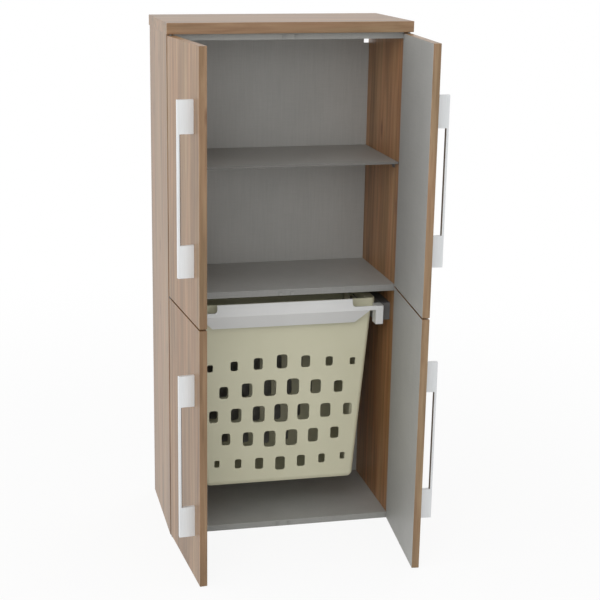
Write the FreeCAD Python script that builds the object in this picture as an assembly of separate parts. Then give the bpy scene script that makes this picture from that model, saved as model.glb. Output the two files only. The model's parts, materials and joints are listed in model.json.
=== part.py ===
"""Tall bathroom cabinet with four hinged doors and a pull-out laundry basket.

Frame: X to the right, Y to the back, Z up, in millimetres.  The origin lies under the
base panel, in the middle of the carcass.  The doors stand open, the basket is pushed in.
"""
import FreeCAD, Part
import math
import os

V = FreeCAD.Vector

# Driving dimensions of the carcass
cabinet_width = 600.0
cabinet_height = 1300.0
carcass_depth = 297.0
board = 16.0
cover_thickness = 26.0
cover_overhang = 2.0
back_thickness = 5.0
edge_ease = 0.6
divider_top = 642.0
hook_notch_width = 14.0
hook_notch_height = 34.0

# Shelf of the upper compartment and its four supports
shelf_top = 955.0
shelf_thickness = 5.0
shelf_setback = 3.0
shelf_side_gap = 0.8
shelf_back_gap = 2.0
support_sheet = 1.6
support_width = 16.0
support_reach = 10.0
support_drop = 14.0
support_inset = 40.0

# Doors
door_thickness = 18.0
door_gap = 3.0
door_reveal = 0.5
door_middle_gap = 2.0
door_split_drop = 4.0
door_top_gap = 3.5
door_open_angle = 85.0
buffer_size = 8.0
buffer_clearance = 0.3
buffer_from_middle = 15.0

# Pivot hinges: one pin above and one below each door
pivot_from_edge = 8.0
pivot_from_face = 7.0
pin_radius = 2.5
pin_clearance = 0.05
pin_in_door = 9.0
pin_in_cover = 14.0
bush_wall = 1.95
bush_floor = 2.0
bush_proud = 0.7
bush_fit = 0.02
bush_lift = 0.3
bracket_thickness = 2.0
bracket_inset = 1.5
bracket_height = 40.0
tongue_nose = 5.5
tongue_lift = 0.6

# Handles
handle_length = 403.0
handle_standoff = 37.5
handle_bar = 7.0
handle_leg = 76.0
handle_thickness = 9.0
handle_from_edge = 48.0
handle_drop = 5.0
handle_corner = 1.2
handle_ease = 0.6

# Pull-out frame
spacer_thickness = 23.8
frame_setback = 1.5
frame_top_gap = 20.0
sheet = 2.5
bar_upper_height = 29.5
bar_upper_lean = 7.0
bar_upper_inset = 80.5
bar_lower_height = 35.0
bar_lower_lean = 17.0
bar_lower_inset = 34.5
bar_lower_chamfer = 36.0
bar_notch_radius = 8.0
arm_rise = 10.0
end_block_width = 19.5
end_block_reach = 9.5
end_block_height = 48.0
end_block_depth = 31.5
end_block_ease = 1.0
rail_thickness = 2.0
rail_seat_drop = 10.5
rail_lip = 4.0
rail_ledge_gap = 0.8
rear_bar_gap = 21.0

# Telescopic runners
runner_thickness = 12.7
runner_height = 45.0
runner_wall = 1.2
runner_play = 0.4
runner_front_gap = 1.0
runner_rear_gap = 11.5

# Laundry basket
basket_height = 496.0
basket_wall = 3.0
basket_front_gap = 0.6
basket_rear_room = 43.5
basket_lean = 11.5
basket_taper = 39.0
basket_side_recess = 20.0
basket_column = 22.0
basket_corner = 10.0
basket_bottom_round = 12.0
basket_rim_ease = 0.9
collar_height = 21.0
collar_wall = 2.2
lug_reach = 23.0
lug_overhang = 7.0
lug_depth = 53.0
lug_corner = 13.0
lug_height = 33.7
lug_side_gap = 0.5
lug_seat_gap = 0.3
grip_length = 140.0
grip_height = 30.0
grip_corner = 6.0
grip_drop = 41.5
hole_column_count = 7
hole_middle_drop = 300.5
hole_inner_edge = 48.2
hole_outer_edge = 122.0
hole_edge_margin = 34.5
hole_height = 51.0
hole_column_fall = 6.1
hole_row_fall = 3.25
hole_proportion = 0.715
hole_round = 0.26

# Number of straight steps in a quarter turn of an outline
fine_step_count = 4
plain_step_count = 3

# Planes and places that follow from them
carcass_half = cabinet_width / 2 - cover_overhang
inner_half = carcass_half - board
front = -carcass_depth / 2
back = carcass_depth / 2
back_face = back - back_thickness
cover_bottom = cabinet_height - cover_thickness
inner_top_bottom = cover_bottom - board
divider_bottom = divider_top - board

bush_radius = pin_radius + pin_clearance + bush_wall
bush_depth = pin_in_door + bush_floor
door_inner_face = front - door_gap
door_outer_face = door_inner_face - door_thickness
door_hinge_edge = carcass_half - door_reveal
door_free_edge = door_middle_gap / 2
door_split = divider_top - door_split_drop
bush_room = bush_lift + bush_proud
middle_tongue = door_split - bracket_thickness / 2
bottom_tongue = tongue_lift
upper_door_span = (middle_tongue + bracket_thickness + bush_room, cover_bottom - door_top_gap)
lower_door_span = (bottom_tongue + bracket_thickness + bush_room, middle_tongue - bush_room)
pivot_x = door_hinge_edge - pivot_from_edge
pivot_y = door_outer_face + pivot_from_face
middle_plate_bottom = door_split - bracket_height / 2

bar_top = divider_bottom - frame_top_gap
bar_bend = bar_top - bar_upper_height
bar_foot = bar_bend - bar_lower_height
arm_top = bar_bend + arm_rise
bend_y = front + frame_setback
runner_seat = inner_half - spacer_thickness
rail_outer = runner_seat - runner_thickness
rail_inner = rail_outer - rail_thickness
rail_seat = bar_bend - rail_seat_drop
rail_top = rail_seat + rail_lip
end_outer = rail_outer + end_block_reach
end_inner = end_outer - end_block_width
end_bottom = arm_top - end_block_height
end_back = bend_y + end_block_depth
bar_upper_half = end_outer - bar_upper_inset
bar_lower_half = end_outer - bar_lower_inset
runner_middle_z = (arm_top + end_bottom) / 2
runner_front = end_back + runner_front_gap
runner_rear = back_face - runner_rear_gap
runner_step = runner_wall + runner_play

lug_bottom = rail_seat + lug_seat_gap
lug_half = rail_inner - lug_side_gap
collar_half = lug_half - lug_reach
basket_top = lug_bottom + lug_height
basket_bottom = basket_top - basket_height
basket_front = end_back + basket_front_gap
basket_back = back_face - basket_rear_room
face_half_top = lug_half - lug_overhang
rear_bar_y = basket_back + rear_bar_gap
hole_middle = basket_top - hole_middle_drop


def block(x0, x1, y0, y1, z0, z1):
    """A box between two corners."""
    return Part.makeBox(x1 - x0, y1 - y0, z1 - z0, V(x0, y0, z0))


def eased(shape, size):
    """The shape with all its edges broken by a small chamfer."""
    return shape.makeChamfer(size, shape.Edges)


def rod(radius, start, end):
    """A round bar between two points."""
    along = end.sub(start)
    return Part.makeCylinder(radius, along.Length, start, along)


def mirrored(shape):
    """The shape's counterpart on the other side of the cabinet."""
    return shape.mirror(V(0, 0, 0), V(1, 0, 0))


def sided(shape, side):
    """A shape modelled on the right (+1), or its counterpart on the left (-1)."""
    return shape if side > 0 else mirrored(shape)


def both(shape):
    """A right-hand shape together with its left-hand counterpart."""
    return Part.makeCompound([shape, mirrored(shape)])


def turned(corner, before, after, radius, steps):
    """Points of a rounded corner between its two neighbours."""
    u, v = corner
    bu, bv = before[0] - u, before[1] - v
    au, av = after[0] - u, after[1] - v
    bl, al = math.hypot(bu, bv), math.hypot(au, av)
    bu, bv, au, av = bu / bl, bv / bl, au / al, av / al
    half = math.acos(bu * au + bv * av) / 2
    cut = radius / math.tan(half)
    reach = radius / math.sin(half)
    ml = math.hypot(bu + au, bv + av)
    cu, cv = u + (bu + au) / ml * reach, v + (bv + av) / ml * reach
    start = math.atan2(v + bv * cut - cv, u + bu * cut - cu)
    end = math.atan2(v + av * cut - cv, u + au * cut - cu)
    sweep = (end - start + math.pi) % (2 * math.pi) - math.pi
    angles = [start + sweep * step / steps for step in range(steps + 1)]
    return [(cu + radius * math.cos(angle), cv + radius * math.sin(angle)) for angle in angles]


def outline(corners, place, steps):
    """A closed outline through (u, v, radius) corners; place(u, v) puts a point in space."""
    points = []
    count = len(corners)
    for index, (u, v, radius) in enumerate(corners):
        if radius == 0:
            points.append((u, v))
        else:
            points += turned((u, v), corners[index - 1], corners[(index + 1) % count], radius, steps)
    return Part.makePolygon([place(u, v) for u, v in points + points[:1]])


def rectangle(u, v, wide, tall, radius):
    """Corners of a rounded rectangle about a middle point."""
    turns = ((-1, -1), (1, -1), (1, 1), (-1, 1))
    return [(u + wide / 2 * a, v + tall / 2 * b, radius) for a, b in turns]


def prism(corners, place, along, steps=plain_step_count):
    """A rounded outline pushed along a vector."""
    return Part.Face(outline(corners, place, steps)).extrude(along)


def in_xz(y):
    """Places outline points on an upright plane that faces the front."""
    return lambda u, v: V(u, y, v)


def in_yz(x):
    """Places outline points on an upright plane that faces the side."""
    return lambda u, v: V(x, u, v)


def in_xy(z):
    """Places outline points on a level plane."""
    return lambda u, v: V(u, v, z)


def support_places():
    """Places of the shelf supports along the depth."""
    return (front + shelf_setback + support_inset, back_face - support_inset)


def shelf_support(y):
    """One right-hand shelf support: a small steel angle against the side."""
    top = shelf_top - shelf_thickness
    corners = [
        (inner_half, top, 0),
        (inner_half - support_reach, top, 0),
        (inner_half - support_reach, top - support_sheet, 0),
        (inner_half - support_sheet, top - support_sheet, 0),
        (inner_half - support_sheet, top - support_drop, 0),
        (inner_half, top - support_drop, 0),
    ]
    return prism(corners, in_xz(y - support_width / 2), V(0, support_width, 0))


def bracket_plate(bottom):
    """The plate of a right-hand pivot bracket, let into the front edge of the side."""
    return block(inner_half + bracket_inset, carcass_half - bracket_inset,
                 front, front + bracket_thickness, bottom, bottom + bracket_height)


def side_panel():
    """The right side panel, with its bracket recesses."""
    panel = eased(block(inner_half, carcass_half, front, back, 0, cover_bottom), edge_ease)
    recesses = [bracket_plate(middle_plate_bottom), bracket_plate(bottom_tongue)]
    return panel.cut(Part.makeCompound(recesses))


def pivot_bracket(plate_bottom, tongue_bottom):
    """A right-hand pivot bracket: a plate on the side and a tongue under or over a door."""
    inner = inner_half + bracket_inset
    outer = carcass_half - bracket_inset
    nose = pivot_y - tongue_nose
    corners = [
        (inner, front, 0),
        (inner, nose, tongue_nose),
        (outer, nose, tongue_nose),
        (outer, front, 0),
    ]
    tongue = prism(corners, in_xy(tongue_bottom), V(0, 0, bracket_thickness))
    hole = rod(pin_radius + bush_fit, V(pivot_x, pivot_y, tongue_bottom),
               V(pivot_x, pivot_y, tongue_bottom + bracket_thickness))
    return bracket_plate(plate_bottom).fuse(tongue).removeSplitter().cut(hole)


def pivot_pin(bottom, top):
    """A right-hand pivot pin between two heights."""
    return rod(pin_radius, V(pivot_x, pivot_y, bottom), V(pivot_x, pivot_y, top))


def pivot_pins():
    """The three pins on the right: under the cover, between the doors and at the bottom."""
    upper = pivot_pin(upper_door_span[1] - pin_in_door, cover_bottom + pin_in_cover)
    middle = pivot_pin(lower_door_span[1] - pin_in_door, upper_door_span[0] + pin_in_door)
    lower = pivot_pin(bottom_tongue, lower_door_span[0] + pin_in_door)
    return [upper, middle, lower]


def top_cover():
    """The cover plate, which reaches forward over the closed doors."""
    half = cabinet_width / 2
    panel = eased(block(-half, half, door_outer_face, back, cover_bottom, cabinet_height), edge_ease)
    pin_hole = rod(pin_radius + bush_fit, V(pivot_x, pivot_y, cover_bottom),
                   V(pivot_x, pivot_y, cover_bottom + pin_in_cover))
    return panel.cut(both(pin_hole))


def level_panel(bottom, rear):
    """A fixed panel between the sides."""
    return eased(block(-inner_half, inner_half, front, rear, bottom, bottom + board), edge_ease)


def back_panel():
    """The thin back, with a notch for a wall hook in each upper corner."""
    panel = block(-inner_half, inner_half, back_face, back, board, inner_top_bottom)
    notch = block(inner_half - hook_notch_width, inner_half, back_face, back,
                  inner_top_bottom - hook_notch_height, inner_top_bottom)
    return panel.cut(both(notch))


def shelf():
    """The thin loose shelf."""
    half = inner_half - shelf_side_gap
    plate = block(-half, half, front + shelf_setback, back_face - shelf_back_gap,
                  shelf_top - shelf_thickness, shelf_top)
    return eased(plate, edge_ease)


def door_buffers():
    """Soft pads on the front edges, one for each door corner that lands on a panel."""
    levels = (board / 2, (divider_bottom + lower_door_span[1]) / 2,
              (inner_top_bottom + upper_door_span[1]) / 2)
    near = buffer_from_middle - buffer_size / 2
    half = buffer_size / 2
    pads = [
        block(near, near + buffer_size, front - door_gap + buffer_clearance, front, z - half, z + half)
        for z in levels
    ]
    return both(Part.makeCompound(pads))


def bush(door_end, inward):
    """A bush in the top or bottom edge of a right-hand door, which stands a little proud."""
    deep = V(pivot_x, pivot_y, door_end + inward * bush_depth)
    proud = V(pivot_x, pivot_y, door_end - inward * bush_proud)
    return rod(bush_radius, proud, deep).cut(rod(pin_radius + pin_clearance, proud, deep))


def handle_middle(span):
    """Height of the middle of a handle on a door."""
    return (span[0] + span[1]) / 2 - handle_drop


def door_panel(span):
    """A right-hand door, closed."""
    panel = block(door_free_edge, door_hinge_edge, door_outer_face, door_inner_face, span[0], span[1])
    lower = V(pivot_x, pivot_y, span[0])
    upper = V(pivot_x, pivot_y, span[1])
    deep = V(0, 0, bush_depth)
    radius = bush_radius + bush_fit
    seats = [rod(radius, lower, lower.add(deep)), rod(radius, upper, upper.sub(deep))]
    return eased(panel, edge_ease).cut(Part.makeCompound(seats))


def handle(span):
    """A right-hand bow handle: a slim bar on two long legs."""
    middle = handle_middle(span)
    low, high = middle - handle_length / 2, middle + handle_length / 2
    tip = door_outer_face - handle_standoff
    grip = tip + handle_bar
    corners = [
        (door_outer_face, low, 0),
        (tip, low, handle_corner),
        (tip, high, handle_corner),
        (door_outer_face, high, 0),
        (door_outer_face, high - handle_leg, 0),
        (grip, high - handle_leg, handle_corner),
        (grip, low + handle_leg, handle_corner),
        (door_outer_face, low + handle_leg, 0),
    ]
    bow = prism(corners, in_yz(door_free_edge + handle_from_edge), V(handle_thickness, 0, 0))
    sides = [face for face in bow.Faces if face.BoundBox.XLength < handle_ease]
    seat = door_outer_face - handle_ease
    rims = [edge for face in sides for edge in face.Edges if edge.BoundBox.YMin < seat]
    return bow.makeChamfer(handle_ease, rims)


def opened(shape, side):
    """A right-hand door piece, put on its side of the cabinet and swung open."""
    piece = shape.copy()
    piece.rotate(V(pivot_x, pivot_y, 0), V(0, 0, 1), door_open_angle)
    return sided(piece, side)


def bent_sheet(points, half):
    """A sheet that follows a folded line of (y, z) points."""
    rear = [(y + sheet, z) for y, z in reversed(points)]
    corners = [(y, z, 0) for y, z in points + rear]
    return prism(corners, in_yz(-half), V(2 * half, 0, 0))


def mirrored_outline(right):
    """The right half of an outline, from the top down, joined to its left counterpart."""
    return right + [(-u, v, radius) for u, v, radius in reversed(right)]


def front_bar():
    """The folded front bar with its arms and end blocks."""
    fold = [(bend_y + bar_upper_lean, bar_top), (bend_y, bar_bend), (bend_y + bar_lower_lean, bar_foot)]
    right = [
        (bar_upper_half, bar_top, 0),
        (bar_upper_half, arm_top, bar_notch_radius),
        (end_outer, arm_top, 0),
        (end_outer, bar_bend, 0),
        (bar_lower_half, bar_bend, 0),
        (bar_lower_half - bar_lower_chamfer, bar_foot, 0),
    ]
    reach = prism(mirrored_outline(right), in_xz(bend_y), V(0, end_block_depth, 0), fine_step_count)
    bar = bent_sheet(fold, end_outer).common(reach)
    end = block(end_inner, end_outer, bend_y, end_back, end_bottom, arm_top)
    upright = [edge for edge in end.Edges if edge.BoundBox.ZLength > end_block_ease]
    end = end.makeChamfer(end_block_ease, upright)
    return bar.fuse(both(end)).removeSplitter()


def rear_bar():
    """The flat rear bar, which ties the two rails behind the basket."""
    right = [
        (bar_upper_half, bar_top, 0),
        (bar_upper_half, arm_top, bar_notch_radius),
        (rail_outer, arm_top, 0),
        (rail_outer, end_bottom, 0),
        (bar_lower_half, end_bottom, 0),
        (bar_lower_half, bar_bend, 0),
    ]
    return prism(mirrored_outline(right), in_xz(rear_bar_y), V(0, sheet, 0), fine_step_count)


def side_rail():
    """The right rail of the frame: an upright web and a ledge for the basket's lugs."""
    ledge_bottom = rail_seat - rail_thickness
    ledge_edge = face_half(rail_seat) + rail_ledge_gap
    corners = [
        (rail_outer, end_bottom, 0),
        (rail_outer, rail_top, 0),
        (rail_inner, rail_top, 0),
        (rail_inner, rail_seat, 0),
        (ledge_edge, rail_seat, 0),
        (ledge_edge, ledge_bottom, 0),
        (rail_inner, ledge_bottom, 0),
        (rail_inner, end_bottom, 0),
    ]
    return prism(corners, in_xz(end_back), V(0, rear_bar_y - end_back, 0))


def channel(web, lip, shrink):
    """A right-hand runner channel: a web at one depth and two lips that end at another."""
    half = runner_height / 2 - shrink
    turn = runner_wall if web < lip else -runner_wall
    corners = [
        (web, runner_middle_z - half, 0),
        (lip, runner_middle_z - half, 0),
        (lip, runner_middle_z - half + runner_wall, 0),
        (web + turn, runner_middle_z - half + runner_wall, 0),
        (web + turn, runner_middle_z + half - runner_wall, 0),
        (lip, runner_middle_z + half - runner_wall, 0),
        (lip, runner_middle_z + half, 0),
        (web, runner_middle_z + half, 0),
    ]
    return prism(corners, in_xz(runner_front), V(0, runner_rear - runner_front, 0))


def runner_outer():
    """The right runner's fixed channel, open towards the basket."""
    return channel(runner_seat, rail_outer + 2 * runner_step, 0)


def runner_middle():
    """The right runner's middle channel, open towards the basket."""
    return channel(runner_seat - runner_step, rail_outer + runner_step, runner_step)


def runner_inner():
    """The right runner's moving channel, screwed to the rail."""
    return channel(rail_outer, runner_seat - 2 * runner_step, 2 * runner_step)


def spacer_strip():
    """The right strip that brings the runner clear of the open door."""
    low = runner_middle_z - runner_height / 2
    return block(runner_seat, inner_half, runner_front, runner_rear, low, low + runner_height)


def basket_level(z):
    """How far up the basket's walls a height lies, from 0 at the bottom to 1 at the top."""
    return (z - basket_bottom) / (basket_top - basket_bottom)


def face_half(z):
    """Half the width of the basket's front face at a height."""
    return face_half_top - basket_taper * (1 - basket_level(z))


def face_setback(z):
    """How far the leaning front and rear faces stand inside their top edges at a height."""
    return basket_lean * (1 - basket_level(z))


def waisted(half, waist_half, near, far, column, radius):
    """Level outline of the basket: wide front and rear columns with drawn-in sides between."""
    right = [
        (half, near, radius),
        (half, near + column, radius / 2),
        (waist_half, near + column, radius / 2),
        (waist_half, far - column, radius / 2),
        (half, far - column, radius / 2),
        (half, far, radius),
    ]
    left = [(-x, y, r) for x, y, r in reversed(right)]
    return right + left


def tub_outline(z, inset, column):
    """The tub's level section at a height, drawn in by an inset."""
    half = face_half(z) - inset
    near = basket_front + face_setback(z) + inset
    far = basket_back - face_setback(z) - inset
    corners = waisted(half, half - basket_side_recess, near, far, column, basket_corner)
    return outline(corners, in_xy(z), fine_step_count)


def tub_sections(bottom, top, inset, column):
    """Sections of the tub from its rounded bottom edge up to its top."""
    turn = basket_bottom_round
    sections = []
    for angle in (0, 45, 90):
        rise = turn * (1 - math.cos(math.radians(angle)))
        draw = turn * (1 - math.sin(math.radians(angle)))
        sections.append(tub_outline(bottom + rise, inset + draw, column))
    sections.append(tub_outline(top, inset, column))
    return sections


def hole_lines(level):
    """Distance of a row's straight edge from the middle row; level counts rows from there."""
    return (0, hole_inner_edge, hole_outer_edge)[level]


def wall_holes():
    """The rows of rounded holes in the front and rear walls, largest in the middle.

    Each row has its straight edge towards the middle row, so that its tallest hole reaches
    furthest away from it.
    """
    middle_column = (hole_column_count - 1) / 2
    holes = []
    for row in (-2, -1, 0, 1, 2):
        level = abs(row)
        line = hole_middle + math.copysign(hole_lines(level), row)
        pitch = (face_half(line) - hole_edge_margin) / middle_column
        count = hole_column_count - level % 2
        for index in range(count):
            step = index - (count - 1) / 2
            tall = hole_height - hole_column_fall * abs(step) - hole_row_fall * level * level
            wide = hole_proportion * tall * face_half(line) / face_half(hole_middle)
            z = line + math.copysign(tall / 2, row) if row else line
            corners = rectangle(step * pitch, z, wide, tall, wide * hole_round)
            holes.append(prism(corners, in_xz(basket_front), V(0, basket_column, 0)))
            holes.append(prism(corners, in_xz(basket_back), V(0, -basket_column, 0)))
    return Part.makeCompound(holes)


def grip_slots():
    """The hand-holds through both side walls, below the collar."""
    middle_y = (basket_front + basket_back) / 2
    z = basket_top - grip_drop
    corners = rectangle(middle_y, z, grip_length, grip_height, grip_corner)
    return prism(corners, in_yz(-collar_half), V(2 * collar_half, 0, 0), fine_step_count)


def lug_pocket(end, inward):
    """The hollow under one right-hand lug, open at the bottom; end is an end of the basket."""
    near = end + inward * basket_wall
    far = end + inward * (lug_depth - basket_wall)
    side = lug_half - basket_wall
    corners = [
        (collar_half, near, 0),
        (side, near, lug_corner - basket_wall),
        (side, far, 0),
        (collar_half, far, 0),
    ]
    return prism(corners, in_xy(lug_bottom), V(0, 0, basket_top - basket_wall - lug_bottom))


def laundry_basket():
    """The moulded basket: a tapered tub, a collar with four lugs, holes and hand-holds."""
    collar_bottom = basket_top - collar_height
    tub = Part.makeLoft(tub_sections(basket_bottom, collar_bottom, 0, basket_column), True, True)
    tub = tub.cut(wall_holes())
    collar = prism(
        waisted(lug_half, collar_half, basket_front, basket_back, lug_depth, lug_corner),
        in_xy(lug_bottom), V(0, 0, lug_height), fine_step_count)
    beside = block(-collar_half, collar_half, basket_front, basket_back, lug_bottom, collar_bottom)
    shell = tub.fuse(collar.cut(beside.cut(tub))).removeSplitter()
    well = Part.makeLoft(tub_sections(basket_bottom + basket_wall, collar_bottom, basket_wall,
                                      basket_column - 2 * basket_wall), True, True)
    half = collar_half - collar_wall
    near = basket_front + collar_wall
    far = basket_back - collar_wall
    corners = [(x, y, basket_corner) for x, y in ((half, near), (half, far), (-half, far), (-half, near))]
    mouth = prism(corners, in_xy(collar_bottom), V(0, 0, collar_height), fine_step_count)
    pockets = Part.makeCompound([lug_pocket(basket_front, 1), lug_pocket(basket_back, -1)])
    shell = shell.cut(well).cut(mouth).cut(both(pockets)).cut(grip_slots())
    rim = [edge for edge in shell.Edges if abs(edge.BoundBox.ZMin - basket_top) < 0.001]
    return shell.makeChamfer(basket_rim_ease, rim)


def carcass_nodes():
    """The fixed pieces of the cabinet."""
    right_side = side_panel()
    middle_bracket = pivot_bracket(middle_plate_bottom, middle_tongue)
    bottom_bracket = pivot_bracket(bottom_tongue, bottom_tongue)
    supports = Part.makeCompound([shelf_support(y) for y in support_places()])
    return {
        "side_panel_right": right_side,
        "side_panel_left": mirrored(right_side),
        "top_cover": top_cover(),
        "inner_top_panel": level_panel(inner_top_bottom, back),
        "divider_panel": level_panel(divider_bottom, back_face),
        "base_panel": level_panel(0, back),
        "back_panel": back_panel(),
        "shelf": shelf(),
        "shelf_supports": both(supports),
        "door_buffers": door_buffers(),
        "middle_pivot_brackets": both(middle_bracket),
        "bottom_pivot_brackets": both(bottom_bracket),
        "pivot_pins": both(Part.makeCompound(pivot_pins())),
    }


def door_nodes():
    """The four doors with their handles and bushes."""
    nodes = {}
    for level, span in (("upper", upper_door_span), ("lower", lower_door_span)):
        pieces = {
            "door": door_panel(span),
            "handle": handle(span),
            "pivot_bushes": Part.makeCompound([bush(span[0], 1), bush(span[1], -1)]),
        }
        for side, word in ((-1, "left"), (1, "right")):
            for name, shape in pieces.items():
                nodes[f"{name}_{level}_{word}"] = opened(shape, side)
    return nodes


def pull_out_nodes():
    """The pull-out frame, its runners and the basket."""
    nodes = {"frame_front_bar": front_bar(), "frame_rear_bar": rear_bar(), "laundry_basket": laundry_basket()}
    pieces = {
        "frame_rail": side_rail(),
        "runner_outer": runner_outer(),
        "runner_middle": runner_middle(),
        "runner_inner": runner_inner(),
        "spacer_strip": spacer_strip(),
    }
    for name, shape in pieces.items():
        nodes[f"{name}_right"] = shape
        nodes[f"{name}_left"] = mirrored(shape)
    return nodes


def main():
    """Builds every piece and writes one file for each."""
    os.makedirs("parts", exist_ok=True)
    nodes = {**carcass_nodes(), **door_nodes(), **pull_out_nodes()}
    for name, shape in nodes.items():
        shape.exportStep(f"parts/{name}.step")
        print(f"{name}: {len(shape.Solids)} solid(s), {shape.Volume / 1000:.2f} cm3, valid {shape.isValid()}")


main()
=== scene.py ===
"""Tall oak-decor bathroom cabinet with open doors and a pull-out laundry basket."""

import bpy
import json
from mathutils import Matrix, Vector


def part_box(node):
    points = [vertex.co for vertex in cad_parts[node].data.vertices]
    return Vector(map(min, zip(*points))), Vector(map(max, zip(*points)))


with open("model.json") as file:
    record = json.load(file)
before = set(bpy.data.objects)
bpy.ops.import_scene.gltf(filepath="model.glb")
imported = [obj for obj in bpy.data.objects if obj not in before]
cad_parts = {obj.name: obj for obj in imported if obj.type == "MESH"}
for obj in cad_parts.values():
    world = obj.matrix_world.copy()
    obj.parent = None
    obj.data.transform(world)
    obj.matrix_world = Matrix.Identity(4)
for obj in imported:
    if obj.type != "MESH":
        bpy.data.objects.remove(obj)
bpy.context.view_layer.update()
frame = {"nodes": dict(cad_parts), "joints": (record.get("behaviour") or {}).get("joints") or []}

import json
import math

import bpy
from mathutils import Matrix, Vector

# Camera as solved from the cabinet's straight edges: pixels of a square picture, metres and degrees
PICTURE = 600
FOCAL_PIXELS = 1343.9
MIDDLE_X, MIDDLE_Y = 240.0, 290.0
CAMERA_PLACE = (-0.7501, -3.3064, 1.5148)
CAMERA_TURN, CAMERA_DIP, CAMERA_ROLL = 11.307, -15.100, 0.345
SENSOR = 36.0
CAMERA_REACH = 60.0

# Axes that a grain runs along, and directions that faces look in
WIDE, TALL = 0, 2
FORWARD, UPWARD = (0, -1, 0), (0, 0, 1)

# A point this near to a face lies on it
SKIN = 0.0002

# The handles: thickness of the bar, width of the painted shade line along its inner side, height of a leg
HANDLE_BAR = 0.007
PAINTED_SHADE_LINE = 0.0017
HANDLE_LEG = 0.076

# Middles of the growth rings: distance to either side of the cabinet's middle, and places in depth
HEART_X = 0.24
LEFT_HEART_Y, RIGHT_HEART_Y, DOOR_HEART_Y = 0.02, -0.03, -0.29
COVER_HEART = (0, 0.03, 1.24)

# Oak decor, from dark to light wood, then what multiplies it: hue, pores and knots, then painted light on the
# sides' inner faces and painted shade on front and free edges
OAK_STOPS = ((0.36, (106, 78, 49)), (0.44, (127, 97, 65)), (0.52, (141, 110, 77)), (0.62, (159, 129, 95)))
WHITE = (1, 1, 1, 1)
OAK_CAST = ((0.38, (1.07, 0.97, 0.94, 1)), (0.62, (0.97, 1.00, 0.97, 1)))
OAK_VESSEL = ((0.30, (0.74, 0.70, 0.66, 1)), (0.44, WHITE))
OAK_KNOT = ((0.05, (0.50, 0.38, 0.29, 1)), (0.13, WHITE))
VESSEL_SHARE, KNOT_SHARE = 0.35, 0.8
# Painted light that lightens the inner faces of the side panels, and painted shade that darkens the front and
# free edges of the oak boards
INNER_OAK_PAINTED_LIGHT, EDGE_OAK_PAINTED_SHADE = (1.48, 1.32, 1.20, 1), (0.86, 0.91, 1.00, 1)

# Grey decor, then painted shade that darkens the front edges of the grey panels, the divider and the shelf;
# the shelf's own darker tone all over, and how deep behind its front the shelf's painted shade reaches
GREY_STOPS = ((0.32, (161, 161, 158)), (0.68, (177, 177, 174)))
EDGE_GREY_PAINTED_SHADE, DIVIDER_EDGE_PAINTED_SHADE = (0.78, 0.78, 0.77, 1), (0.65, 0.645, 0.64, 1)
SHELF_FACE, SHELF_EDGE_PAINTED_SHADE, SHELF_PAINTED_SHADE_BAND = (0.88, 0.87, 0.86, 1), (0.48, 0.47, 0.46, 1), 0.0012

# Dark and light shade of each moulded, coated or metal finish
SHADE_STOPS = (0.3, 0.7)
# Handle metal, then the painted shade of the line along the bar's inner side
HANDLE_METAL, HANDLE_PAINTED_SHADE = ((216, 220, 222), (229, 232, 234)), (104, 94, 84)
BUSH_PLASTIC = ((118, 114, 108), (128, 124, 118))
# The door pads' grey is darkened by the same painted shade as the divider's front edge
DOOR_PAD_WITH_PAINTED_SHADE = ((142, 142, 139), (154, 154, 151))
PLATED_STEEL = ((108, 108, 108), (132, 132, 132))
RUNNER_STEEL = ((128, 130, 132), (158, 160, 162))
SPACER_PLASTIC = ((96, 97, 98), (106, 107, 108))
WHITE_LACQUER = ((210, 210, 209), (218, 218, 217))
GREY_LACQUER = ((150, 150, 151), (160, 160, 161))
BASKET_PLASTIC = ((203, 200, 173), (211, 208, 183))

# Painted shadow on the rear bar: its white lacquer is darkened from this far below the basket's rim upwards,
# where the divider shades it
REAR_BAR_SHADOW, REAR_BAR_SHADOW_START = (0.25, 0.245, 0.25, 1), 0.0012

# Light from all round, the floor's own grey, and its share of plain white from near the object to far away
AMBIENT = 0.55
FLOOR_SIZE = 30
FLOOR_GREY = (0.86, 0.86, 0.86, 1)
FLOOR_WHITE = 0.90
FLOOR_NEAR, FLOOR_FAR = 0.5, 2.6

# Square lamps by name, with their places, what they face and their power in watts
LAMP_SIZE = 2.6
BODY_MIDDLE = (0, 0, 0.7)
LAMPS = (
    ("front", (-0.5, -4.4, 1.2), BODY_MIDDLE, 24),
    ("key", (-1.6, -3.4, 2.9), BODY_MIDDLE, 49),
    ("left", (-4.3, -1.2, 1.4), BODY_MIDDLE, 52),
    ("top", (0, -0.4, 3.6), (0, 0, 0), 11),
    ("back", (2.8, 3.2, 2.4), BODY_MIDDLE, 40),
)

DOORS = ("upper_left", "upper_right", "lower_left", "lower_right")


class Wire:
    """A shader socket that takes part in Python expressions."""

    def __init__(self, tree, socket):
        self.tree = tree
        self.socket = socket

    def reckon(self, operation, first, second):
        """Adds a Math node for two values or wires."""
        node = self.tree.nodes.new("ShaderNodeMath")
        node.operation = operation
        for place, value in enumerate((first, second)):
            if isinstance(value, Wire):
                self.tree.links.new(value.socket, node.inputs[place])
            else:
                node.inputs[place].default_value = value
        return Wire(self.tree, node.outputs[0])

    def __add__(self, other):
        return self.reckon("ADD", self, other)

    def __radd__(self, other):
        return self.reckon("ADD", other, self)

    def __sub__(self, other):
        return self.reckon("SUBTRACT", self, other)

    def __rsub__(self, other):
        return self.reckon("SUBTRACT", other, self)

    def __mul__(self, other):
        return self.reckon("MULTIPLY", self, other)

    def __rmul__(self, other):
        return self.reckon("MULTIPLY", other, self)

    def __gt__(self, other):
        return self.reckon("GREATER_THAN", self, other)


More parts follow.
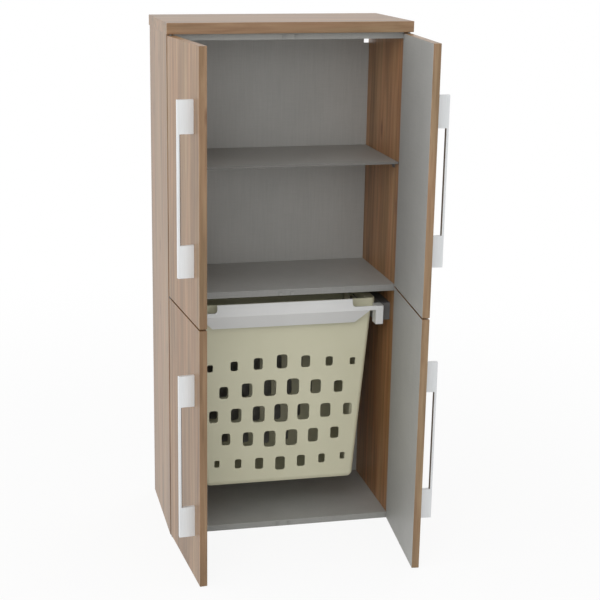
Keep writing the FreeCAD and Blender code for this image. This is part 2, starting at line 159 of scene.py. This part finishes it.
class Finish:
    """The nodes of a material or of the world, around its one shader."""

    def __init__(self, owner, shader="Principled BSDF"):
        owner.use_nodes = True
        self.owner = owner
        self.tree = owner.node_tree
        self.shader = self.tree.nodes[shader]

    def node(self, kind, settings, sockets, output=0):
        """Adds a node, sets it up, fills its sockets and gives back one of its outputs."""
        node = self.tree.nodes.new(kind)
        for name, value in settings.items():
            if name == "stops":
                ramp = node.color_ramp
                while len(ramp.elements) < len(value):
                    ramp.elements.new(0.5)
                for element, (place, shade) in zip(ramp.elements, value):
                    element.position = place
                    element.color = shade
            else:
                setattr(node, name, value)
        for name, value in sockets.items():
            self.fill(node.inputs[name], value)
        return Wire(self.tree, node.outputs[output])

    def fill(self, socket, value):
        """Links a wire to a socket, or sets the socket's own value."""
        if isinstance(value, Wire):
            self.tree.links.new(value.socket, socket)
        else:
            socket.default_value = value

    def set(self, **sockets):
        """Sets or links the shader's own sockets."""
        for name, value in sockets.items():
            self.fill(self.shader.inputs[name.replace("_", " ")], value)

    def own(self):
        """The piece's own coordinates."""
        return self.node("ShaderNodeTexCoord", {}, {}, "Object")

    def place(self, scale, shift=(0, 0, 0)):
        """The piece's own coordinates, stretched and moved."""
        return self.node("ShaderNodeMapping", {}, {"Vector": self.own(), "Scale": scale, "Location": shift})

    def noise(self, place, scale, detail, roughness, distortion=0.0):
        """Cloudy values from 0 to 1."""
        sockets = {"Vector": place, "Scale": scale, "Detail": detail, "Roughness": roughness,
                   "Distortion": distortion}
        return self.node("ShaderNodeTexNoise", {}, sockets, "Fac")

    def ramp(self, value, stops):
        """A value turned into a colour by stops."""
        return self.node("ShaderNodeValToRGB", {"stops": stops}, {"Fac": value}, "Color")

    def blend(self, share, first, second, way="MIX"):
        """Two colours mixed."""
        settings = {"data_type": "RGBA", "blend_type": way}
        return self.node("ShaderNodeMix", settings, {0: share, 6: first, 7: second}, 2)

    def bump(self, height, strength, distance):
        """A normal that follows a height."""
        return self.node("ShaderNodeBump", {}, {"Height": height, "Strength": strength, "Distance": distance})

    def along(self, direction):
        """How far a point lies along a direction."""
        settings = {"operation": "DOT_PRODUCT"}
        return self.node("ShaderNodeVectorMath", settings, {0: self.own(), 1: direction}, "Value")

    def face(self, piece, direction, depth=SKIN):
        """1 on the face of a piece that looks in a direction and just behind it, 0 elsewhere."""
        return self.along(direction) > reach(piece, direction) - depth

    def seen(self):
        """1 for what is looked at, straight, in gloss or through glass, and 0 for light on other surfaces."""
        camera, gloss, glass = (
            self.node("ShaderNodeLightPath", {}, {}, ray)
            for ray in ("Is Camera Ray", "Is Glossy Ray", "Is Transmission Ray"))
        return camera + gloss + glass > 0.5


def reach(piece, direction):
    """How far a piece goes along a direction."""
    return max(Vector(direction).dot(corner.co) for corner in frame["nodes"][piece].data.vertices)


def new_finish(name):
    """An empty material finish."""
    return Finish(bpy.data.materials.new(name))


def colour(red, green, blue):
    """A colour given in picture values from 0 to 255, as the shader takes it."""
    def channel(value):
        value /= 255
        return value / 12.92 if value <= 0.04045 else ((value + 0.055) / 1.055) ** 2.4
    return (channel(red), channel(green), channel(blue), 1.0)


def coloured(stops):
    """Stops with picture values turned into stops as the shader takes them."""
    return [(place, colour(*shade)) for place, shade in stops]


def drawn_out(run, lengthwise, across=1.0):
    """Scales that draw a pattern out along one axis."""
    return [lengthwise if axis == run else across for axis in range(3)]


def oak_layers(finish, run, heart):
    """Colour, roughness and height of oak decor.

    The grain runs along the axis run, and heart is a point on the middle of the growth rings.
    """
    long = drawn_out(run, 0.07)
    fine = drawn_out(run, 0.016)
    ring_shift = [-place * scale for place, scale in zip(heart, long)]
    rings = finish.node(
        "ShaderNodeTexWave",
        {"wave_type": "RINGS", "rings_direction": "XYZ"[run], "wave_profile": "SIN"},
        {"Vector": finish.place(long, ring_shift), "Scale": 13.0, "Distortion": 5.0, "Detail": 2.0,
         "Detail Scale": 5.0, "Detail Roughness": 0.55}, "Fac")
    stave = finish.noise(finish.place(long), scale=17.0, detail=2.0, roughness=0.5, distortion=0.5)
    figure = finish.noise(
        finish.place(long, (3.1, 1.7, 0.4)), scale=60.0, detail=7.0, roughness=0.66, distortion=0.8)
    streak = finish.noise(finish.place(fine), scale=330.0, detail=3.0, roughness=0.6)
    pore = finish.noise(finish.place(fine, (0.7, 2.3, 1.9)), scale=900.0, detail=2.0, roughness=0.6)
    tone = stave * 0.42 + rings * 0.10 + figure * 0.34 + streak * 0.14
    wood = finish.ramp(tone, coloured(OAK_STOPS))
    hue = finish.noise(
        finish.place(long, (1.3, 4.1, 2.2)), scale=24.0, detail=3.0, roughness=0.6, distortion=0.4)
    wood = finish.blend(1.0, wood, finish.ramp(hue, OAK_CAST), "MULTIPLY")
    wood = finish.blend(VESSEL_SHARE, wood, finish.ramp(pore, OAK_VESSEL), "MULTIPLY")
    knots = finish.place(drawn_out(run, 4.5, 13.0))
    spot = finish.node("ShaderNodeTexVoronoi", {}, {"Vector": knots, "Scale": 1.0}, "Distance")
    eye = finish.ramp(spot + 0.10 * (figure - 0.5), OAK_KNOT)
    wood = finish.blend(KNOT_SHARE, wood, eye, "MULTIPLY")
    return wood, 0.28 + 0.10 * figure + 0.05 * streak, streak * 0.6 + pore * 0.4


def grey_layers(finish):
    """Colour and height of the grey inner decor: a quiet, finely woven matt paper."""
    cloud = finish.noise(finish.place((1, 1, 1)), scale=6.0, detail=3.0, roughness=0.5)
    upright = finish.noise(finish.place((1, 1, 0.04)), scale=330.0, detail=3.0, roughness=0.6)
    level = finish.noise(finish.place((0.05, 0.05, 1)), scale=420.0, detail=2.0, roughness=0.6)
    thread = upright * 0.6 + level * 0.4
    return finish.ramp(cloud * 0.4 + thread * 0.6, coloured(GREY_STOPS)), thread


def oak(name, piece, run, heart, painted_light_and_shade):
    """Oak decor all round; the last argument lists faces by direction, with the painted light or painted
    shade that multiplies each.
    """
    finish = new_finish(name)
    wood, dull, height = oak_layers(finish, run, heart)
    for direction, tone in painted_light_and_shade:
        wood = finish.blend(finish.face(piece, direction), wood, tone, "MULTIPLY")
    finish.set(Base_Color=wood, Roughness=dull, Normal=finish.bump(height, strength=0.12, distance=0.0004))
    return finish.owner


def side_board(name, piece, side, depth):
    """Oak decor of a side panel, with painted light on its inner face and painted shade on its front edge;
    depth is where the middle of its growth rings lies.
    """
    painted_light_and_shade = [((-side, 0, 0), INNER_OAK_PAINTED_LIGHT), (FORWARD, EDGE_OAK_PAINTED_SHADE)]
    return oak(name, piece, TALL, (side * HEART_X, depth, 0), painted_light_and_shade)


def open_door(place):
    """The directions in which the inner face and the free edge of an open door look, and its side."""
    hinge = next(joint for joint in frame["joints"] if joint["name"] == place + "_door_hinge")
    turn = math.radians(-hinge["range_deg"][0])
    side = 1 if place.endswith("right") else -1
    inward = (-side * math.sin(turn), math.cos(turn), 0)
    endward = (-side * math.cos(turn), -math.sin(turn), 0)
    return inward, endward, side


def door_board(name, place):
    """Oak decor on the outer face and edges of an open door, with painted shade on its free edge, and grey on
    its inner face.
    """
    piece = "door_" + place
    inward, endward, side = open_door(place)
    finish = new_finish(name)
    wood, dull, height = oak_layers(finish, TALL, (side * HEART_X, DOOR_HEART_Y, 0))
    # Painted shade on the door's free edge
    wood = finish.blend(finish.face(piece, endward), wood, EDGE_OAK_PAINTED_SHADE, "MULTIPLY")
    shade, thread = grey_layers(finish)
    inner = finish.face(piece, inward)
    finish.set(
        Base_Color=finish.blend(inner, wood, shade),
        Roughness=dull * (1 - inner) + 0.5 * inner,
        Normal=finish.bump(height * (1 - inner) + thread * inner, strength=0.12, distance=0.0004))
    return finish.owner


def grey_board(name, piece, edge, face=None, depth=SKIN):
    """The grey decor of the inner panels, with painted shade on the front edge and, if given, another tone
    all over.
    """
    finish = new_finish(name)
    shade, thread = grey_layers(finish)
    if face:
        shade = finish.blend(1.0, shade, face, "MULTIPLY")
    finish.set(
        # Painted shade on the front edge
        Base_Color=finish.blend(finish.face(piece, FORWARD, depth), shade, edge, "MULTIPLY"),
        Roughness=0.48 + 0.08 * thread,
        Normal=finish.bump(thread, strength=0.08, distance=0.0003))
    return finish.owner


def shaded(finish, value, shades):
    """A value turned into a colour between a dark and a light shade."""
    return finish.ramp(value, coloured(zip(SHADE_STOPS, shades)))


def speckled(name, shades, size, rough, bump=0.05, upper=None):
    """A moulded or coated finish with a faint, fine mottle; upper is a height and the tone of painted shadow
    above it.
    """
    finish = new_finish(name)
    cloud = finish.noise(finish.place((1, 1, 1)), scale=9.0, detail=3.0, roughness=0.5)
    grain = finish.noise(finish.place((1, 1, 1)), scale=size, detail=2.0, roughness=0.5)
    shade = shaded(finish, cloud * 0.5 + grain * 0.5, shades)
    if upper:
        line, tone = upper
        # Painted shadow above the given height
        shade = finish.blend(finish.along(UPWARD) > line, shade, tone, "MULTIPLY")
    finish.set(
        Base_Color=shade,
        Roughness=rough + 0.10 * (grain - 0.5) + 0.06 * (cloud - 0.5),
        Normal=finish.bump(grain, strength=bump, distance=0.0002))
    return finish.owner


def brushed_layers(finish, shades, grain):
    """Colour and fine lines of metal; grain stretches the lines along an axis."""
    line = finish.noise(finish.place(grain), scale=900.0, detail=2.0, roughness=0.6)
    cloud = finish.noise(finish.place((1, 1, 1)), scale=7.0, detail=2.0, roughness=0.5)
    return shaded(finish, line * 0.6 + cloud * 0.4, shades), line


def brushed(name, shades, metal, grain):
    """A metal finish with fine lines."""
    finish = new_finish(name)
    shade, line = brushed_layers(finish, shades, grain)
    finish.set(
        Base_Color=shade,
        Roughness=0.36 + 0.12 * (line - 0.5),
        Metallic=metal,
        Normal=finish.bump(line, strength=0.04, distance=0.0002))
    return finish.owner


def handle_finish(name, place):
    """Pale satin metal with a painted shade line along the inner side of the bar between the legs, where the
    bar lies in shade.
    """
    piece = "handle_" + place
    away = [-part for part in open_door(place)[0]]
    low, high = (corner[2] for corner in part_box(piece))
    finish = new_finish(name)
    shade, line = brushed_layers(finish, HANDLE_METAL, (1, 1, 0.02))
    # Painted shade: a dark line on the bar's inner side between the legs
    behind = reach(piece, away) - finish.along(away) > HANDLE_BAR - PAINTED_SHADE_LINE
    height = finish.along(UPWARD)
    painted_shade = behind * (height > low + HANDLE_LEG + SKIN) * (1 - (height > high - HANDLE_LEG - SKIN))
    finish.set(
        Base_Color=finish.blend(painted_shade, shade, colour(*HANDLE_PAINTED_SHADE)),
        Roughness=0.34 + 0.12 * (line - 0.5) + 0.2 * painted_shade,
        Metallic=0.25 * (1 - painted_shade),
        Normal=finish.bump(line, strength=0.04, distance=0.0002))
    return finish.owner


def paint(material, *nodes):
    """Gives pieces a material."""
    for name in nodes:
        for slot in frame["nodes"][name].material_slots:
            slot.material = material


def wooden_finishes():
    """Finishes of the oak and grey boards."""
    paint(side_board("oak side left", "side_panel_left", -1, LEFT_HEART_Y), "side_panel_left")
    paint(side_board("oak side right", "side_panel_right", 1, RIGHT_HEART_Y), "side_panel_right")
    # Painted shade on the cover's front edge
    paint(oak("oak cover", "top_cover", WIDE, COVER_HEART, [(FORWARD, EDGE_OAK_PAINTED_SHADE)]), "top_cover")
    for place in DOORS:
        paint(door_board("oak door " + place.replace("_", " "), place), "door_" + place)
    # Painted shade on the front edges of the grey panels and the divider
    panel = grey_board("grey panel", "inner_top_panel", EDGE_GREY_PAINTED_SHADE)
    paint(panel, "inner_top_panel", "base_panel", "back_panel")
    paint(grey_board("grey divider", "divider_panel", DIVIDER_EDGE_PAINTED_SHADE), "divider_panel")
    # The shelf's own darker tone all over, and painted shade on a band at its front edge
    paint(grey_board("dark shelf", "shelf", SHELF_EDGE_PAINTED_SHADE, SHELF_FACE, SHELF_PAINTED_SHADE_BAND), "shelf")


def fitting_finishes():
    """Finishes of the handles, the small fittings, the pull-out and the basket."""
    bush = speckled("bush plastic", BUSH_PLASTIC, size=900.0, rough=0.5)
    for place in DOORS:
        paint(handle_finish("handle metal " + place.replace("_", " "), place), "handle_" + place)
        paint(bush, "pivot_bushes_" + place)
    # Door pads in grey with painted shade
    paint(speckled("door pad", DOOR_PAD_WITH_PAINTED_SHADE, size=900.0, rough=0.8), "door_buffers")
    paint(brushed("plated steel", PLATED_STEEL, metal=0.8, grain=(1, 1, 0.05)),
          "shelf_supports", "middle_pivot_brackets", "bottom_pivot_brackets", "pivot_pins")
    steel = brushed("runner steel", RUNNER_STEEL, metal=0.6, grain=(1, 0.03, 1))
    spacer = speckled("spacer", SPACER_PLASTIC, size=600.0, rough=0.55)
    rail = speckled("grey lacquer", GREY_LACQUER, size=1200.0, rough=0.42, bump=0.03)
    for side in ("left", "right"):
        paint(steel, "runner_outer_" + side, "runner_middle_" + side, "runner_inner_" + side)
        paint(spacer, "spacer_strip_" + side)
        paint(rail, "frame_rail_" + side)
    lacquer = {"shades": WHITE_LACQUER, "size": 1200.0, "rough": 0.38, "bump": 0.03}
    paint(speckled("white lacquer", **lacquer), "frame_front_bar")
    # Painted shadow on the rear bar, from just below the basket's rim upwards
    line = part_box("laundry_basket")[1][2] - REAR_BAR_SHADOW_START
    paint(speckled("white lacquer with painted shadow", **lacquer, upper=(line, REAR_BAR_SHADOW)), "frame_rear_bar")
    paint(speckled("basket plastic", BASKET_PLASTIC, size=1400.0, rough=0.46), "laundry_basket")


def camera():
    """The camera at the photograph's angle."""
    data = bpy.data.cameras.new("camera")
    data.sensor_width = SENSOR
    data.lens = SENSOR * FOCAL_PIXELS / PICTURE
    data.shift_x = 0.5 - MIDDLE_X / PICTURE
    data.shift_y = MIDDLE_Y / PICTURE - 0.5
    data.clip_end = CAMERA_REACH
    turn, dip, roll = (math.radians(angle) for angle in (CAMERA_TURN, CAMERA_DIP, CAMERA_ROLL))
    ahead = Vector((math.sin(turn) * math.cos(dip), math.cos(turn) * math.cos(dip), math.sin(dip)))
    right = Vector((math.cos(turn), -math.sin(turn), 0))
    up = right.cross(ahead)
    right, up = (right * math.cos(roll) + up * math.sin(roll),
                 up * math.cos(roll) - right * math.sin(roll))
    seat = Matrix((right, up, -ahead)).transposed().to_4x4()
    seat.translation = CAMERA_PLACE
    piece = bpy.data.objects.new("camera", data)
    piece.matrix_world = seat
    bpy.context.scene.collection.objects.link(piece)
    bpy.context.scene.camera = piece


def surroundings():
    """A world that looks white and lights the object softly from all round."""
    sky = Finish(bpy.data.worlds.new("studio"), "Background")
    sky.set(Color=WHITE, Strength=AMBIENT + (1 - AMBIENT) * sky.seen())
    bpy.context.scene.world = sky.owner


def ground():
    """A pale floor that keeps the object's shadow and turns white further away."""
    bpy.ops.mesh.primitive_plane_add(size=FLOOR_SIZE)
    floor = bpy.context.object
    floor.name = "floor"
    finish = new_finish("floor")
    finish.set(Base_Color=FLOOR_GREY, Roughness=0.9, Specular_IOR_Level=0.0)
    away = finish.node("ShaderNodeVectorMath", {"operation": "LENGTH"}, {0: finish.own()}, "Value")
    white = finish.node(
        "ShaderNodeMapRange", {"interpolation_type": "SMOOTHSTEP"},
        {"Value": away, "From Min": FLOOR_NEAR, "From Max": FLOOR_FAR, "To Min": FLOOR_WHITE, "To Max": 1.0})
    glow = finish.node("ShaderNodeEmission", {}, {"Strength": 1.0})
    lit = Wire(finish.tree, finish.shader.outputs[0])
    surface = finish.node("ShaderNodeMixShader", {}, {0: finish.seen() * white, 1: lit, 2: glow})
    finish.fill(finish.tree.nodes["Material Output"].inputs["Surface"], surface)
    floor.data.materials.append(finish.owner)


def lamp(name, place, target, power):
    """A square soft lamp that faces a target and doesn't show in gloss."""
    data = bpy.data.lights.new(name, "AREA")
    data.shape = "SQUARE"
    data.size = LAMP_SIZE
    data.energy = power
    piece = bpy.data.objects.new(name, data)
    piece.location = place
    piece.rotation_euler = (Vector(target) - Vector(place)).to_track_quat("-Z", "Y").to_euler()
    piece.visible_glossy = False
    bpy.context.scene.collection.objects.link(piece)


wooden_finishes()
fitting_finishes()
camera()
bpy.context.scene.view_settings.view_transform = "Standard"
surroundings()
ground()
for name, place, target, power in LAMPS:
    lamp(name, place, target, power)
